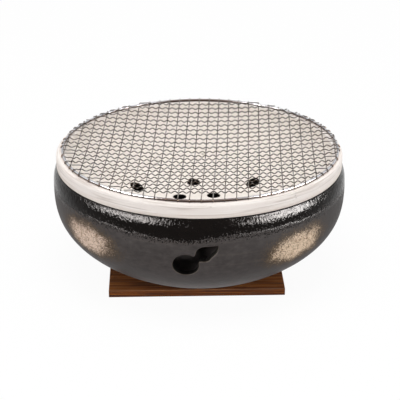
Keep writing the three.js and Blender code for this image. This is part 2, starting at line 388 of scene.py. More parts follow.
# %% Triangulate a sheet round its openings
RING_SLACK = 0.97  # a lip's point comes no nearer to any outline than this share of its way out
LIP_CLEAR = 1.4  # how many lips away from an opening the rest of the sheet's points begin


def distance_to(points, loops):
    nearest = np.full(len(points), np.inf)
    for loop in loops:
        start = loop[None]
        step = np.roll(loop, -1, 0)[None] - start
        share = ((points[:, None] - start) * step).sum(2) / (step ** 2).sum(2)
        foot = start + np.clip(share, 0, 1)[..., None] * step
        nearest = np.minimum(nearest, np.linalg.norm(points[:, None] - foot, axis=2).min(1))
    return nearest


def inside(points, loop):
    x, y = points[:, :1], points[:, 1:]
    (x0, y0), (x1, y1) = loop.T[:, None], np.roll(loop, -1, 0).T[:, None]
    crosses = (y0 > y) != (y1 > y)
    with np.errstate(divide="ignore", invalid="ignore"):
        ahead = x < x0 + (y - y0) / (y1 - y0) * (x1 - x0)
    return (crosses & ahead).sum(1) % 2 == 1


def sheet_round(border, holes, filling, lip, lip_steps=5):
    """Flat points (border first, then the holes), triangles, and how deep the lip sinks each point."""
    rings = []
    for loop in holes:
        out = outward(loop)
        for step in range(1, lip_steps + 1):
            away = lip * (1 - math.cos(step * math.pi / 2 / lip_steps))
            ring = loop + out * away
            rings.append(ring[distance_to(ring, holes) > away * RING_SLACK])
    clear = distance_to(filling, holes) > lip * LIP_CLEAR
    for loop in holes:
        clear &= ~inside(filling, loop)
    flat = np.concatenate([border, *holes, *rings, filling[clear]])
    edges, start = [], 0
    for loop in (border, *holes):
        count = len(loop)
        edges += [(start + k, start + (k + 1) % count) for k in range(count)]
        start += count
    made = delaunay_2d_cdt([Vector(p) for p in flat], edges, [], 2, 1e-6, True)
    first = [ids[0] for ids in made[3]]
    triangles = np.array([[first[k] for k in face] for face in made[2]])
    middles = flat[triangles].mean(1)
    keep = np.ones(len(triangles), bool)
    for loop in holes:
        keep &= ~inside(middles, loop)
    near = np.minimum(distance_to(flat, holes), lip)
    sink = lip - np.sqrt(np.maximum(lip ** 2 - (lip - near) ** 2, 0))
    return flat, triangles[keep], sink


print("lips are quarter circles")

# %% [markdown]
# ## The shell
# The shell is thrown on the wheel: a full belly low over a narrow foot, and a shoulder that turns in to
# the mouth. An ellipse would lie flat where it leaves the foot. Two power curves, which leave it at a
# slope, meet at the belly and give the outside, and the same curve moved in by the wall gives the inside.
# Thrown ware is never quite true, so a few slow, very shallow waves run round it.

# %% Profile of the shell
FOOT, MOUTH = shell_low[2], shell_high[2]
BELLY_RADIUS, BELLY = shell_high[0], FOOT + 81.6
FOOT_RADIUS, FOOT_INNER, FOOT_HEIGHT, FOOT_ROUND = 80, 68, 2.5, 1
MOUTH_DRAW, LIP_ROUND = 3, 1.2
MOUTH_RADIUS = BELLY_RADIUS - MOUTH_DRAW
WALL, FLOOR_TOP = 8, FOOT + 11.5
LOWER_CURVE, SHOULDER_CURVE = 2.8, 2.7
SKIN = 0.08  # the thrown surface waves inside this much of the construction model
ROW = 1.5


def shell_outside():
    rise = np.sin(np.linspace(0, np.pi / 2, 90))
    drop = 1 - rise
    lower = np.stack([FOOT_RADIUS + (BELLY_RADIUS - FOOT_RADIUS) * (1 - drop ** LOWER_CURVE),
                      FOOT + (BELLY - FOOT) * rise], 1)
    share = np.linspace(0, 1, 30)[1:]
    top = MOUTH - LIP_ROUND
    upper = np.stack([BELLY_RADIUS - (BELLY_RADIUS - MOUTH_RADIUS) * share ** SHOULDER_CURVE,
                      BELLY + (top - BELLY) * share], 1)
    return np.concatenate([lower, upper])


outside = shell_outside()
inside_curve = sideways(outside, WALL)
inside_curve[:, 0] = np.minimum(inside_curve[:, 0], MOUTH_RADIUS - WALL)
inside_curve = inside_curve[(inside_curve[:, 1] > FLOOR_TOP + 1)
                            & (inside_curve[:, 1] < MOUTH - 2 * LIP_ROUND)]
outer_rows = spread(outside, ROW)
inner_rows = spread(inside_curve[::-1], ROW)
lip_out = arc((MOUTH_RADIUS - LIP_ROUND, MOUTH - LIP_ROUND), LIP_ROUND, 0, 90, 6)
lip_in = arc((MOUTH_RADIUS - WALL + LIP_ROUND, MOUTH - LIP_ROUND), LIP_ROUND, 90, 180, 6)
foot_side = arc((FOOT_RADIUS - FOOT_ROUND, FOOT + FOOT_ROUND), FOOT_ROUND, -90, -20, 4)
foot_inside = np.array([(FOOT_INNER, FOOT), (FOOT_INNER - 1, FOOT + 0.5),
                        (FOOT_INNER - FOOT_HEIGHT, FOOT + FOOT_HEIGHT)])
floor_turn = np.array([(inner_rows[-1, 0] - WALL, FLOOR_TOP)])
print("rows outside", len(outer_rows), "inside", len(inner_rows))

# %% [markdown]
# ## The air vent
# The vent in the front lets air in under the coals. Its outline is a gourd: a large round lobe, a waist,
# and a smaller lobe drawn out to a point. It could be traced point by point, but then no number would say
# what it is. So two arcs are joined by short curves, along the line through the lobes, and the whole is
# turned and moved to its place.

# %% Outline of the vent
LOBE_PLACE, LOBE_RADIUS = np.array((-12.3, BELLY - 28.2)), 12.0
BUD_PLACE, BUD_RADIUS = np.array((4.4, BELLY - 16)), 7.7
TIP_PLACE, TIP_BULGE = np.array((17, BELLY - 7.5)), 0.3
WAIST, FLARE, POINT = 7.6, 0.25, 1.0
VENT_LIP = 1.3
VENT_MARGIN = 8  # between the vent and the edge of the block of faces that is made anew round it


def bend(start, control, end, steps=6):
    share = np.linspace(0, 1, steps + 1)[:, None]
    return (1 - share) ** 2 * start + 2 * share * (1 - share) * control + share ** 2 * end


def vent_outline():
    axis = BUD_PLACE - LOBE_PLACE
    lean, apart = math.atan2(axis[1], axis[0]), math.hypot(*axis)
    turn = turning(lean)
    tip = turn @ (TIP_PLACE - LOBE_PLACE)
    half = WAIST / 2
    waist = np.array(((apart + LOBE_RADIUS - BUD_RADIUS) / 2, -half))
    lobe_open = math.degrees(math.asin(half / LOBE_RADIUS) + FLARE)
    bud_open = math.degrees(math.asin(half / BUD_RADIUS) + FLARE)
    lobe = arc((0, 0), LOBE_RADIUS, lobe_open, 360 - lobe_open, 60)
    bud = arc((apart, 0), BUD_RADIUS, -180 + bud_open, -math.degrees(POINT), 26)
    neck = np.concatenate([bend(lobe[-1], ((lobe[-1][0] + waist[0]) / 2, -half), waist)[1:],
                           bend(waist, ((bud[0][0] + waist[0]) / 2, -half), bud[0])[1:]])
    side = np.concatenate([neck, bud[1:]])
    mirrored = side[::-1] * (1, -1)
    full = (tip - side[-1]) @ np.array([[0, -1], [1, 0]]) * TIP_BULGE  # the lower side bulges to the tip
    to_tip = bend(side[-1], (side[-1] + tip) / 2 + full, tip, 7)[1:]
    share = np.linspace(0, 1, 8)[1:-1, None]
    from_tip = tip + (mirrored[0] - tip) * share
    outline = np.concatenate([lobe, side, to_tip, from_tip, mirrored])
    return outline @ turn + LOBE_PLACE


vent = vent_outline()
print("vent outline has", len(vent), "points, from", vent.min(0).round(1), "to", vent.max(0).round(1))

# %% [markdown]
# ## Closing the shell round the vent
# The turned grid leaves out a block of faces round the vent, outside and inside. Each block is a height
# field seen from the front: its points are kept as width and height, triangulated round the outline, and
# then given their depth from the profile. Both sheets use one outline, as a straight cut would.

# %% Mesh of the shell
def radius_at(height, rows):
    """Radius of the surface at a height, from rows that run up or down."""
    order = np.argsort(rows[:, 1])
    return np.interp(height, rows[order, 1], rows[order, 0])


def thrown(points):
    """Slow waves left by the wheel and by drying, the same all round without a seam."""
    turn = np.arctan2(points[:, 0], -points[:, 1])
    height = points[:, 2]
    wave = 0.03 * np.sin(height / 1.9 + 0.8 * np.sin(turn + 0.4)) * np.sin(height / 11.3 + np.sin(2 * turn))
    wave += 0.025 * np.sin(3 * turn + height / 17) + 0.02 * np.sin(7 * turn + 1.3 + height / 9)
    out = points.copy()
    radius = np.hypot(points[:, 0], points[:, 1])
    share = np.divide(wave - SKIN, radius, out=np.zeros_like(radius), where=radius > FOOT_RADIUS + 4)
    out[:, :2] *= 1 + share[:, None]
    return out


def vent_block(rows):
    """Rows and turns of a grid that surround the vent, with a margin for the lip."""
    low, high = vent.min(0) - VENT_MARGIN, vent.max(0) + VENT_MARGIN
    rows_in = np.flatnonzero((rows[:, 1] > low[1]) & (rows[:, 1] < high[1]))
    across = BELLY_RADIUS * np.sin(azimuths)
    turns_in = np.flatnonzero((across > low[0]) & (across < high[0]) & (np.cos(azimuths) > 0))
    return rows_in, turns_in


def block_border(first_row, rows_in, turns_in):
    """Numbers of the grid's points round a block, and of those inside it."""
    block = (first_row + rows_in)[:, None] * TURNS + turns_in
    border = np.r_[block[0, :-1], block[:-1, -1], block[-1, :0:-1], block[:0:-1, 0]]
    return border, block[1:-1, 1:-1].ravel()


profile = np.concatenate([foot_inside[::-1], foot_side, outer_rows[1:], lip_out[1:], lip_in, inner_rows,
                          floor_turn])
outer_start = len(foot_inside) + len(foot_side) - 1
inner_start = len(profile) - len(inner_rows) - 1
outer_block, inner_block = vent_block(outer_rows), vent_block(inner_rows)
left_out = [(start + rows_in[:-1], turns_in[:-1])
            for start, (rows_in, turns_in) in ((outer_start, outer_block), (inner_start, inner_block))]
shell_ware = Ware(profile, left_out)
outlines = []
for start, block, rows, inward in ((outer_start, outer_block, outer_rows, 1),
                                   (inner_start, inner_block, inner_rows, -1)):
    border, middle = block_border(start, *block)
    flat, triangles, sink = sheet_round(shell_ware.points[border][:, [0, 2]], [vent],
                                        shell_ware.points[middle][:, [0, 2]], VENT_LIP)
    depth = -np.sqrt(radius_at(flat[:, 1], rows) ** 2 - flat[:, 0] ** 2) + inward * sink
    sheet = np.stack([flat[:, 0], depth, flat[:, 1]], 1)
    outlines.append(shell_ware.sew_in(border, sheet, triangles, sink, VENT_LIP)[:len(vent)])
shell_ware.add_wall(*outlines)
shell_ware.close(0, FOOT + FOOT_HEIGHT)
shell_ware.close(len(profile) - 1, FLOOR_TOP)
shell_ware.points = thrown(shell_ware.points)
print("shell has", len(shell_ware.points), "points and", len(shell_ware.faces), "faces")

# %% [markdown]
# ## The shell's glaze
# The shell wears a dark iron glaze. A thick, glossy coat was poured round the shoulder and ran down until
# it stopped in an uneven, bubbly edge; below it the coat is thin and satin. Four patches on the belly
# broke to bare clay in the kiln: pale, freckled with iron, each with an olive brown halo. The wall of the
# vent is painted near black, as painted shade inside the opening. The finish is built from masks in space,
# the height above the running edge and the distance from each patch, both disturbed by noise so that no
# edge is drawn with a ruler.

# %% Glaze
RUN_EDGE = 91.0  # height where the thick coat usually stops
RUN_DIP, DIP_TURN, DIP_WIDTH = 6.0, -0.14, 0.245  # a long run in front
BLUSHES = ((-47.5, 68.5, 1), (40.5, 66.5, -1), (130.5, 69, 1), (220.5, 68, -1))
BLUSH_HALF, BLUSH_RISE, BLUSH_SLANT = 34.0, 17.5, 0.04
FAR_AWAY = 9.0  # added to the distance from a patch on the other side of the shell


def blush_distance(f, degrees, height, side):
    """Distance from the middle of a patch, 1 at its edge."""
    sine, cosine = math.sin(math.radians(degrees)), math.cos(math.radians(degrees))
    along = f.plus(f.times(f.x, cosine), f.times(f.y, sine))
    facing = f.minus(f.times(f.x, sine), f.times(f.y, cosine))
    up = f.plus(f.minus(f.z, height), f.times(along, side * BLUSH_SLANT))
    across, rise = f.calc("DIVIDE", along, BLUSH_HALF), f.calc("DIVIDE", up, BLUSH_RISE)
    away = f.calc("SQRT", f.plus(f.times(across, across), f.times(rise, rise)))
    return f.plus(away, f.times(f.calc("LESS_THAN", facing, 0.0), FAR_AWAY))


def glaze_finish():
    f = Finish("stoneware_glaze", IOR=1.2, Specular_IOR_Level=0.38, Specular_Tint=(1, 0.94, 0.91, 1))
    broad = f.noise(46, detail=3, shift=2.0)
    fine = f.noise(5, detail=4, roughness=0.6, shift=4.0)
    bubbles = f.noise(1.5, detail=2, roughness=0.7, shift=13.0)
    turn = f.calc("ARCTAN2", f.x, f.times(f.y, -1.0))
    off = f.calc("DIVIDE", f.minus(turn, DIP_TURN), DIP_WIDTH)
    dip = f.calc("EXPONENT", f.times(f.times(off, off), -1.0))
    edge = f.calc("MULTIPLY_ADD", dip, -RUN_DIP, RUN_EDGE)
    wobble = f.plus(f.swing(broad, 7.0), f.swing(fine, 5.0))
    above = f.minus(f.plus(f.z, wobble), edge)
    thick = f.rise(f.plus(f.swing(bubbles, f.between(dip, 40.0, 20.0)), above), -0.5, 0.5)
    bead = f.times(f.rise(above, -2.8, -0.4), f.fall(above, 0.4, 2.4))

    nearest = blush_distance(f, *BLUSHES[0])
    for blush in BLUSHES[1:]:
        nearest = f.calc("MINIMUM", nearest, blush_distance(f, *blush))
    ragged = f.noise(13, (1, 1, 0.8), detail=5, roughness=0.62, shift=7.0)
    grit = f.noise(1.2, detail=2, roughness=0.7, shift=9.0)
    gritty = f.plus(f.plus(nearest, f.swing(ragged, 0.8)), f.swing(grit, 1.5))
    halo = f.fall(gritty, 0.75, 1.35)
    blush = f.fall(gritty, 0.5, 0.95)

    mottle = f.noise(9, (1, 1, 0.6), detail=4, roughness=0.6, shift=1.0)
    colour = f.ramp(mottle, (0.3, (54, 50, 49)), (0.55, (65, 60, 59)), (0.75, (74, 69, 67)))
    throwing = f.noise(2.2, (40, 40, 1), detail=2, shift=3.0)
    colour = f.stain(colour, (82, 75, 70), f.rise(throwing, 0.56, 0.74), 0.3)
    # painted reflection of the white floor: the satin coat is painted lighter toward the foot
    colour = f.stain(colour, (112, 105, 103), f.fall(f.plus(f.z, wobble), 12.0, 40.0), 0.9)
    # painted shade: the satin coat is darkened on the right side of the belly
    painted_shade_right = f.times(f.rise(f.x, 10.0, 100.0), f.rise(f.z, 30.0, 60.0))
    colour = f.stain(colour, (36, 32, 31), painted_shade_right, 0.6)
    colour = f.stain(colour, (84, 66, 44), halo, 0.85)
    pale = f.blend(f.rise(f.x, -40.0, 40.0), (216, 192, 174), (216, 192, 166))
    speckle = f.noise(3.2, detail=4, roughness=0.7, shift=5.0)
    colour = f.blend(blush, colour, f.blend(f.rise(speckle, 0.3, 0.55), (140, 114, 88), pale))
    freckle = f.times(f.rise(f.noise(1.1, detail=1, shift=12.0), 0.56, 0.64), halo)
    colour = f.stain(colour, (66, 48, 32), freckle, 0.8)
    colour = f.blend(thick, colour, f.ramp(mottle, (0.3, (6, 3, 2)), (0.7, (13, 8, 6))))
    # painted highlights: pale flecks along the bubbly bead stand in for its glints
    painted_glint_flecks = f.times(bead, f.rise(f.noise(1.0, detail=1, shift=14.0), 0.5, 0.62))
    colour = f.stain(colour, (94, 82, 74), painted_glint_flecks, 0.22)
    # lighter on the vent's rounded lip: the glaze breaks thin there, and a painted highlight where the
    # rounding catches light
    colour = f.stain(colour, (104, 92, 80), f.rise(f.mark("soft_edge"), 0.02, 0.5), 0.5)
    colour = f.blend(f.calc("LESS_THAN", f.z, FOOT + 1.2), colour, (120, 98, 78))
    # painted shade inside the vent: its wall is painted near black, lighter toward the right where painted
    # light falls on the far wall
    painted_vent_shade = f.blend(f.rise(f.x, 4.0, 14.0), (14, 12, 10), (44, 41, 35))
    colour = f.blend(f.mark("cut_wall"), colour, painted_vent_shade)

    ripple = f.noise(3.6, (1, 1, 2.6), detail=2, shift=6.0)
    roughness = f.between(f.rise(mottle, 0.3, 0.7), 0.46, 0.58)
    roughness = f.between(blush, roughness, 0.66)
    roughness = f.between(thick, roughness, f.between(f.rise(ripple, 0.3, 0.75), 0.06, 0.13))
    peel = f.rise(f.noise(2.4, (0.8, 0.8, 1.7), detail=2, roughness=0.6, shift=8.0), 0.34, 0.66)
    height = f.plus(f.times(peel, f.between(thick, 0.02, 0.16)), f.times(ripple, 0.3))
    for relief, depth in ((thick, 0.12), (f.times(bead, bubbles), 0.8), (f.times(blush, grit), 0.25),
                          (throwing, 0.12)):
        height = f.calc("MULTIPLY_ADD", relief, depth, height)
    return f.finish(colour, roughness, f.bump(height, 0.9))


shell = shell_ware.piece("stoneware_shell", glaze_finish(), "shell", "shell", ["outer_shell"])
print("glaze has", len(shell.data.materials[0].node_tree.nodes), "nodes")

# %% [markdown]
# ## The fire bowl
# The white fire bowl is pressed from a light refractory clay that keeps the heat off the shell. It hangs
# in the mouth by its rim, and fourteen air holes pierce its floor. The rim and the upper wall are turned.
# Whole rings of points can't pass through the holes, so the pierced middle, top and underside, is
# triangulated round them, as the shell is round its vent.

# %% Profile and holes of the bowl
RIM_BASE, RIM_TOP = bowl_low[2] + 62.8, bowl_high[2]
RIM_RADIUS = bowl_high[0]
RIM_INNER = RIM_RADIUS - 10.1
RIM_ROUND, RIM_INNER_ROUND, RIM_BEVEL, NECK_ROUND = 4, 1.5, 0.8, 1.2
NECK = MOUTH_RADIUS - WALL - 1
FLOOR_RADIUS, BOWL_DEPTH, BOWL_WALL, BOWL_CURVE = 62, 64.5, 10, 1.5
HOLE, HOLE_TURN, HOLE_LIP = 13.5, 5.2, 1.1
HOLE_END, HOLE_STEPS = 352.5, 47  # the last point stops a step short of the first
HOLE_CIRCLES = ((6, 34.5, 30), (4, 64.4, 0), (2, 77, 50.9), (2, 77, -50.9))
PIERCED = 92  # radius of the pierced middle
GRAIN = 2.4
ROW_STRETCH = 1.16  # sets the rows of points far enough apart to reach the edge of the pierced middle
bowl_floor, bowl_under = RIM_TOP - BOWL_DEPTH, bowl_low[2]
turns = np.linspace(0, np.pi / 2, 120)
dish = np.stack([FLOOR_RADIUS + (RIM_INNER - FLOOR_RADIUS) * np.sin(turns) ** (2 / BOWL_CURVE),
                 RIM_TOP - RIM_INNER_ROUND
                 - (BOWL_DEPTH - RIM_INNER_ROUND) * np.cos(turns) ** (2 / BOWL_CURVE)], 1)
under = sideways(dish, -BOWL_WALL)
under[:, 0] = np.minimum(under[:, 0], NECK)
under = under[(under[:, 1] > bowl_under + 1) & (under[:, 1] < RIM_BASE - 1.5)]
under = np.concatenate([[(0, bowl_under), (FLOOR_RADIUS, bowl_under)], under])
holes = [arc(radius * np.array([math.cos(a), math.sin(a)]), HOLE / 2, 0, HOLE_END, HOLE_STEPS)
         for count, radius, turn in HOLE_CIRCLES
         for a in np.radians(HOLE_TURN + turn + 90 + 360 / count * np.arange(count))]
print("bowl floor at", bowl_floor, "with", len(holes), "holes")

# %% Mesh of the bowl
def above_middle(curve):
    start = np.interp(PIERCED, curve[:, 0], curve[:, 1])
    return spread(np.concatenate([[(PIERCED, start)], curve[curve[:, 0] > PIERCED + 0.5]]), ROW)


upper_rows, lower_rows = above_middle(dish), above_middle(under)
rim = np.concatenate([
    spread(np.array([lower_rows[-1], (NECK, RIM_BASE - NECK_ROUND)]), ROW)[1:],
    arc((NECK + NECK_ROUND, RIM_BASE - NECK_ROUND), NECK_ROUND, 180, 90, 5),
    spread(np.array([(NECK + NECK_ROUND, RIM_BASE), (RIM_RADIUS - RIM_BEVEL, RIM_BASE)]), ROW)[1:-1],
    arc((RIM_RADIUS - RIM_BEVEL, RIM_BASE + RIM_BEVEL), RIM_BEVEL, -90, 0, 5),
    spread(np.array([(RIM_RADIUS, RIM_BASE + RIM_BEVEL), (RIM_RADIUS, RIM_TOP - RIM_ROUND)]), ROW)[1:-1],
    arc((RIM_RADIUS - RIM_ROUND, RIM_TOP - RIM_ROUND), RIM_ROUND, 0, 90, 12),
    arc((RIM_INNER + RIM_INNER_ROUND, RIM_TOP - RIM_INNER_ROUND), RIM_INNER_ROUND, 90, 180, 5)])
bowl_profile = np.concatenate([lower_rows, rim, upper_rows[::-1][1:]])
bowl_ware = Ware(bowl_profile)
steps = np.arange(-PIERCED, PIERCED, GRAIN)
grid = np.stack(np.meshgrid(steps, steps * math.sqrt(3) / 2 * ROW_STRETCH), 2)
grid[::2, :, 0] += GRAIN / 2
grid = grid.reshape(-1, 2)
grid = grid[np.hypot(*grid.T) < PIERCED - GRAIN * 0.7]
outlines = []
for row, curve, way in ((0, under, 1), (len(bowl_profile) - 1, dish[dish[:, 0] < RIM_INNER - 0.1], -1)):
    border = ring_of(row)
    flat, triangles, sink = sheet_round(bowl_ware.points[border][:, :2], holes, grid, HOLE_LIP, 4)
    height = np.interp(np.hypot(*flat.T), np.r_[0, curve[:, 0]], np.r_[curve[0, 1], curve[:, 1]])
    own = bowl_ware.sew_in(border, np.c_[flat, height + way * sink], triangles, sink, HOLE_LIP)
    outlines.append(own[:sum(map(len, holes))].reshape(len(holes), -1))
for low_outline, high_outline in zip(*outlines):
    bowl_ware.add_wall(low_outline, high_outline)
print("bowl has", len(bowl_ware.points), "points and", len(bowl_ware.faces), "faces")

# %% [markdown]
# ## Refractory clay
# The clay is a warm white, matt and slightly sandy. The press leaves faint level streaks on the rim, and
# handling leaves a few grey scuffs. The inside is painted lighter than the rim, as painted light from
# above. Below their pale lips the walls of the air holes are painted near black, as painted shade inside
# the holes. Streaks are noise stretched in both level directions. One noise would scatter the scuffs too
# evenly, so they are where two noises happen to be high together.

# %% Finish of the bowl
def clay_finish():
    f = Finish("refractory_clay", Specular_IOR_Level=0.04)
    colour = f.blend(f.noise(38, detail=3, shift=1.0), (228, 219, 213), (238, 231, 226))
    streak = f.noise(2.2, (30, 30, 1), detail=3, shift=2.0)
    colour = f.stain(colour, (196, 184, 176), f.rise(streak, 0.5, 0.66), 0.75)
    colour = f.stain(colour, (246, 243, 240), f.rise(f.noise(1.3, (60, 60, 1), shift=9.0), 0.58, 0.66), 0.5)
    colour = f.stain(colour, (205, 190, 176), f.fall(f.z, RIM_BASE + 0.5, RIM_BASE + 5.5), 0.4)
    # painted light: the inside of the bowl is painted lighter than the rim, as light from above
    from_axis = f.plus(f.times(f.x, f.x), f.times(f.y, f.y))
    inner = f.times(f.calc("LESS_THAN", f.z, RIM_TOP - 1.0),
                    f.calc("LESS_THAN", from_axis, (RIM_INNER + 1) ** 2))
    painted_light_inside = f.blend(f.noise(22, detail=4, shift=4.0), (240, 233, 226), (247, 240, 234))
    colour = f.blend(inner, colour, painted_light_inside)
    scuff = f.times(f.rise(f.noise(15, shift=5.0), 0.6, 0.68),
                    f.rise(f.noise(1.6, (3, 3, 1), detail=3, shift=6.0), 0.55, 0.64))
    colour = f.stain(colour, (150, 140, 132), scuff, 0.6)
    colour = f.stain(colour, (176, 160, 144), f.rise(f.noise(0.9, detail=1, shift=7.0), 0.68, 0.74), 0.35)
    colour = f.stain(colour, (196, 184, 170), f.mark("soft_edge"), 0.25)
    # painted shade: the walls of the air holes are painted near black below their lips
    colour = f.blend(f.mark("cut_wall"), colour, (12, 10, 9))
    sand = f.noise(1.1, detail=3, roughness=0.6, shift=8.0)
    height = f.calc("MULTIPLY_ADD", streak, 0.5, f.times(sand, 0.3))
    height = f.calc("MULTIPLY_ADD", scuff, -0.3, height)
    return f.finish(colour, f.between(sand, 0.68, 0.85), f.bump(height, 0.5))


bowl = bowl_ware.piece("refractory_fire_bowl", clay_finish(), "fire_bowl", "bowl", ["fire_bowl"])
print("bowl box", [round(d / MM, 1) for d in bowl.dimensions])

# %% [markdown]
# ## The grilling net
# The net is crimped steel wire woven inside a heavier ring. The warps, which run front to back, stay
# nearly straight. The wefts pass over one warp and under the next, and are crimped three times between
# neighbours, so that each opening looks like an eye. The cloth is pressed into a shallow dish and pulled
# a little askew, and every end is bent outward over the ring and down. A sheet with a see-through pattern
# would be quicker, but it has neither a weave nor bent ends. So each wire is a round section swept along
# its own path, which is a chain of cosine waves between crossings.

# %% Places of the wires
NET_SHIFT = 0.9
WARP_TURN, WEFT_TURN = math.radians(-1.9), math.radians(0.4)
SKEW = math.sin(WEFT_TURN - WARP_TURN)
RING_WIRE, NET_WIRE = 2.4, 1.0
NET_RADIUS = RIM_RADIUS - 4.3 - RING_WIRE / 2
RING_HEIGHT = RIM_TOP + 0.3 + RING_WIRE / 2
WARPS, WEFTS = 26, 24
WARP_PITCH, WEFT_PITCH = 10.46, 10.16
WARP_SHIFT, WEFT_SHIFT = 0.1, 1.9
SEAT = 2.0  # edge of the net above the middle of the ring
DISH, DISH_CURVE = 12, 1.2  # how far the middle lies below the edge, and how round it is
CRIMP, SAG = 0.92, 0.2  # how far wefts and warps swing to either side
HOOK = RING_WIRE / 2 + NET_WIRE / 2 + 0.1  # middle of a bent end, from the middle of the ring
HOOK_END = -24  # degrees below the level of the ring
CAD_HOOK, CAD_WIRE = 2.025, 1.05  # the same two sizes in the construction model, which decide its weave
ON_RING = RING_WIRE + CAD_WIRE / 2
WIRE_STEP = 0.7
WIRE_SIDES = 8
warp_places = (np.arange(WARPS) - (WARPS - 1) / 2) * WARP_PITCH + WARP_SHIFT
weft_places = (np.arange(WEFTS) - (WEFTS - 1) / 2) * WEFT_PITCH + WEFT_SHIFT


def meeting(place):
    """Half of a wire's way across the ring, its slant there, and how far in the ring is in its way."""
    reach = math.sqrt(NET_RADIUS ** 2 - (1 - SKEW ** 2) * place ** 2)
    stretch = NET_RADIUS / reach
    return reach, stretch, 2 * (CAD_HOOK * stretch + CAD_WIRE)


def from_middle(crossing_places, place):
    """Where other wires cross a wire, from the middle of its way across the ring."""
    return crossing_places + SKEW * place


def weft_over(weft, warp):
    """Whether a weft passes over a warp, or None where they don't cross."""
    reach, _, room = meeting(weft_places[weft])
    gap = reach - abs(from_middle(warp_places[warp], weft_places[weft]))
    if gap <= ON_RING:
        return None
    return gap <= room or (weft + warp) % 2 == 0


print("eyes are", WARP_PITCH, "by", WEFT_PITCH, "mm")

# %% Path and section of a wire
def chain(nodes, waves):
    """Points between nodes of (place, height), with whole cosine waves more on each stretch."""
    path = []
    for (start, low), (end, high) in zip(nodes, nodes[1:]):
        along = np.linspace(0, 1, max(2, round((end - start) / WIRE_STEP)) + 1)[:-1]
        if low * high < 0:
            height = low * np.cos((2 * waves + 1) * np.pi * along)
        elif low == high:
            height = low * np.cos(2 * waves * np.pi * along)
        else:
            height = low + (high - low) * (0.5 - 0.5 * np.cos(np.pi * along))
        path += list(zip(start + (end - start) * along, SEAT + height))
    return path + [(nodes[-1][0], SEAT + nodes[-1][1])]


def end_of_wire(foot, heading, top, lying):
    """From where a wire meets the ring: its last stretch, lying on the ring or bent down round it."""
    if lying:
        return np.array([(*(foot + heading * away), top) for away in (0.15, 0.3)])
    out = foot / np.linalg.norm(foot)
    slide = heading / (heading @ out) - out
    slide *= min(1, 1 / max(np.linalg.norm(slide), 1e-6))
    turn = np.radians(np.linspace(90, HOOK_END, 12))[1:, None]
    done = np.clip(1 - turn / (np.pi / 2), 0, 1)
    level = foot + out * HOOK * np.cos(turn) + slide * HOOK * np.pi / 2 * (done - done ** 2 / 2)
    return np.c_[level, np.where(turn > 0, top, HOOK) * np.sin(turn)]


def sweep(path, side):
    """A round section along a path, with flat ends."""
    along = unit(np.gradient(path, axis=0))
    sides = []
    for direction in along:
        side = side - direction * (side @ direction)
        side /= np.linalg.norm(side)
        sides.append(side)
    sides = np.array(sides)[:, None]
    up = np.cross(along[:, None], sides)
    turn = full_turn(WIRE_SIDES)[None, :, None]
    points = path[:, None] + NET_WIRE / 2 * (np.cos(turn) * sides + np.sin(turn) * up)
    return points.reshape(-1, 3), tube_faces(len(path), WIRE_SIDES)


def on_net(points):
    """From the net's own place to the brazier's."""
    return points + (NET_SHIFT, 0, RING_HEIGHT)


ALONG_WEFT = np.array((math.cos(WEFT_TURN), math.sin(WEFT_TURN)))
ALONG_WARP = np.array((-math.sin(WARP_TURN), math.cos(WARP_TURN)))


def laid(place, path, ends, across, along):
    """A wire's path in the dished cloth, from its height along its own way across the ring."""
    way, height = np.array(path).T
    level = np.outer(np.full(len(way), place), across) + np.outer(way - SKEW * place, along)
    share = np.minimum(np.linalg.norm(level, axis=1) / NET_RADIUS, 1)
    points = np.c_[level, height - DISH * (1 - share ** DISH_CURVE)]
    start = end_of_wire(points[0, :2], -along, *ends[0])[::-1]
    finish = end_of_wire(points[-1, :2], along, *ends[1])
    bent = np.concatenate([np.ones(len(start)), np.zeros(len(points)), np.ones(len(finish))])
    return np.concatenate([start, points, finish]), bent


def warp_path(warp):
    place = warp_places[warp]
    reach, _, _ = meeting(place)
    nodes = [(-reach, HOOK - SEAT)]
    for weft, along in enumerate(from_middle(weft_places, place)):
        over = weft_over(weft, warp)
        if over is not None and abs(along) < reach - ON_RING:
            nodes.append((along, -SAG if over else SAG))
    nodes.append((reach, HOOK - SEAT))
    return laid(place, chain(nodes, 0), [(HOOK, False)] * 2, ALONG_WEFT, ALONG_WARP)


def weft_path(weft):
    place = weft_places[weft]
    reach, stretch, _ = meeting(place)
    crossings = from_middle(warp_places, place)
    nodes = [(crossings[warp], CRIMP if weft_over(weft, warp) else -CRIMP)
             for warp in range(WARPS) if weft_over(weft, warp) is not None]
    ends = []
    for side in (-1, 1):
        gaps = reach - side * crossings
        lying = bool(((gaps > -(CAD_HOOK * stretch + CAD_WIRE)) & (gaps <= ON_RING)).any())
        ends.append((HOOK + 0.5 if lying else HOOK, lying))
    nodes = [(-reach, ends[0][0] - SEAT)] + nodes + [(reach, ends[1][0] - SEAT)]
    return laid(place, chain(nodes, 1), ends, ALONG_WARP, ALONG_WEFT)


print("a warp has", len(warp_path(12)[0]), "steps and a weft", len(weft_path(12)[0]))

# %% [markdown]
# ## Steel wire
# Metal takes its look from what it mirrors, so noise changes only how sharp the mirror is and where brown
# tarnish sits. The wires' sides are painted dark, as painted shade. Their tops carry a painted highlight,
# brightest on the wefts and weaker on the bent ends. The middle of the ring's front and back is painted
# darker and browner, as a painted dark reflection.

